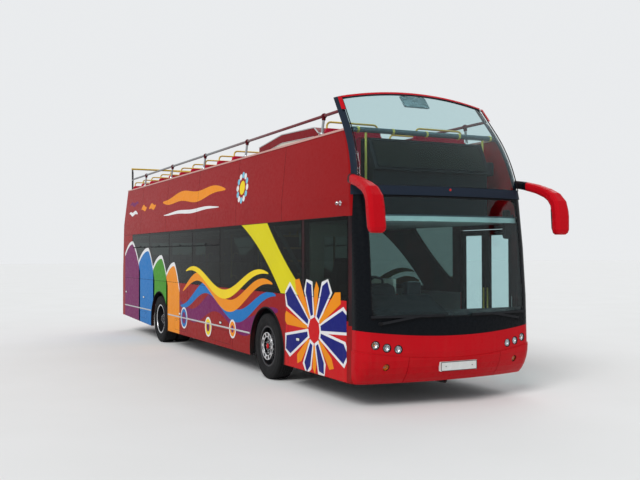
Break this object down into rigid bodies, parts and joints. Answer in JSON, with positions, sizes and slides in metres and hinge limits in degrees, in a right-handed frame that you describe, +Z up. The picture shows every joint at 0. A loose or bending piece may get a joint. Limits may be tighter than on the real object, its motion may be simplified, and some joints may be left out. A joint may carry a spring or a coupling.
{
  "type": "open top double decker bus",
  "caption": "Open top double-deck sightseeing bus with a curved two-part windscreen, open upper deck with seats and rails, stairs, cab, folding kerb door and steerable front axle.",
  "frame": {"origin": "on the ground, midway between the tail and the mirrors' front, on the bus's centre plane", "axes": "+X forward, +Y towards the kerb side (the bus's left), +Z up"},
  "size_m": [12.4019, 2.853, 3.91],
  "materials": {
    "body_red": "deep red gloss paint",
    "bumper_red": "bright red moulding",
    "cream_panel": "cream satin paint",
    "black_mask": "gloss black",
    "clear_glass": "clear glass",
    "dark_glass": "tinted glass",
    "yellow_paint": "yellow gloss paint",
    "rail_yellow": "yellow powder coat",
    "seat_red": "red moulded plastic",
    "saloon_fabric": "woven moquette",
    "floor_grey": "grey floor covering",
    "chassis_black": "black chassis paint",
    "cast_steel": "forged steel",
    "wheel_silver": "silver wheel paint",
    "tyre_rubber": "matt black rubber",
    "dark_plastic": "dark grained plastic",
    "lamp_clear": "clear lamp lens",
    "lamp_red": "red lamp lens",
    "plate_white": "blank plate"
  },
  "bodies": {
    "bus_body": {"chassis_frame": "chassis_black", "engine_block": "cast_steel", "lower_floor": "floor_grey", "upper_deck_floor": "floor_grey", "side_wall_offside": "body_red", "side_wall_nearside": "body_red", "swoosh_pillars": "yellow_paint", "saloon_windows": "dark_glass", "upper_sides": "body_red", "parapet_capping": "body_red", "front_panel": "body_red", "front_bumper": "bumper_red", "windscreen_surround": "black_mask", "windscreen_lower": "clear_glass", "windscreen_band": "black_mask", "windscreen_upper": "clear_glass", "upper_screen_frame": "body_red", "rear_wall": "body_red", "rear_upper_panel": "body_red", "stairs": "floor_grey", "stair_hood": "cream_panel", "deck_rails": "rail_yellow", "front_rail": "cream_panel", "upper_seats": "seat_red", "upper_seat_rails": "rail_yellow", "lower_seats": "saloon_fabric", "saloon_poles": "rail_yellow", "driver_seat": "saloon_fabric", "dashboard": "dark_plastic", "steering_wheel": "dark_plastic", "cab_partition": "cream_panel", "destination_display": "dark_plastic", "front_lamps": "lamp_clear", "tail_lamps": "lamp_red", "mirrors": "bumper_red", "wipers": "dark_plastic", "number_plates": "plate_white", "front_axle": "cast_steel", "rear_axle": "cast_steel"},
    "door_rear_leaf": {"door_leaf_rear": "black_mask", "door_glass_rear": "clear_glass"},
    "door_front_leaf": {"door_leaf_front": "black_mask", "door_glass_front": "clear_glass"},
    "engine_door": {"engine_lid": "body_red"},
    "cab_gate": {"cab_door": "cream_panel"},
    "left_knuckle": {"knuckle_left": "cast_steel"},
    "right_knuckle": {"knuckle_right": "cast_steel"},
    "tie_rod": {"track_rod": "chassis_black"},
    "front_left_wheel": {"wheel_front_left": "wheel_silver", "tyre_front_left": "tyre_rubber"},
    "front_right_wheel": {"wheel_front_right": "wheel_silver", "tyre_front_right": "tyre_rubber"},
    "rear_left_wheels": {"wheel_rear_left": "wheel_silver", "tyre_rear_left": "tyre_rubber"},
    "rear_right_wheels": {"wheel_rear_right": "wheel_silver", "tyre_rear_right": "tyre_rubber"}
  },
  "joints": [
    {"name": "steer_left", "type": "hinge", "parent": "bus_body", "child": "left_knuckle", "pos_m": [2.805, 0.9, 0.478], "axis": [0, 0, 1], "range_deg": [-45, 45]},
    {"name": "steer_right", "type": "hinge", "parent": "bus_body", "child": "right_knuckle", "pos_m": [2.805, -0.9, 0.478], "axis": [0, 0, 1], "range_deg": [-45, 45]},
    {"name": "track_rod_swing", "type": "hinge", "parent": "left_knuckle", "child": "tie_rod", "pos_m": [2.605, 0.9, 0.205], "axis": [0, 0, 1], "range_deg": [-45, 45]},
    {"name": "spin_front_left", "type": "hinge", "parent": "left_knuckle", "child": "front_left_wheel", "pos_m": [2.805, 1.0905, 0.478], "axis": [0, 1, 0], "continuous": true},
    {"name": "spin_front_right", "type": "hinge", "parent": "right_knuckle", "child": "front_right_wheel", "pos_m": [2.805, -1.0905, 0.478], "axis": [0, 1, 0], "continuous": true},
    {"name": "spin_rear_left", "type": "hinge", "parent": "bus_body", "child": "rear_left_wheels", "pos_m": [-2.905, 0.9355, 0.478], "axis": [0, 1, 0], "continuous": true},
    {"name": "spin_rear_right", "type": "hinge", "parent": "bus_body", "child": "rear_right_wheels", "pos_m": [-2.905, -0.9355, 0.478], "axis": [0, 1, 0], "continuous": true},
    {"name": "door_rear_swing", "type": "hinge", "parent": "bus_body", "child": "door_rear_leaf", "pos_m": [4.2153, 1.21, 1.26], "axis": [0, 0, -1], "range_deg": [0, 85]},
    {"name": "door_front_swing", "type": "hinge", "parent": "bus_body", "child": "door_front_leaf", "pos_m": [5.3347, 1.21, 1.26], "axis": [0, 0, 1], "range_deg": [0, 85]},
    {"name": "engine_door_lift", "type": "hinge", "parent": "bus_body", "child": "engine_door", "pos_m": [-6.195, 0, 1.2397], "axis": [0, 1, 0], "range_deg": [0, 80]},
    {"name": "cab_door_swing", "type": "hinge", "parent": "bus_body", "child": "cab_gate", "pos_m": [4.2253, -0.4, 1.06], "axis": [0, 0, 1], "range_deg": [0, 90]}
  ],
  "couplings": [
    {"joint": "steer_right", "follows": "steer_left", "ratio": 1},
    {"joint": "track_rod_swing", "follows": "steer_left", "ratio": -1}
  ]
}
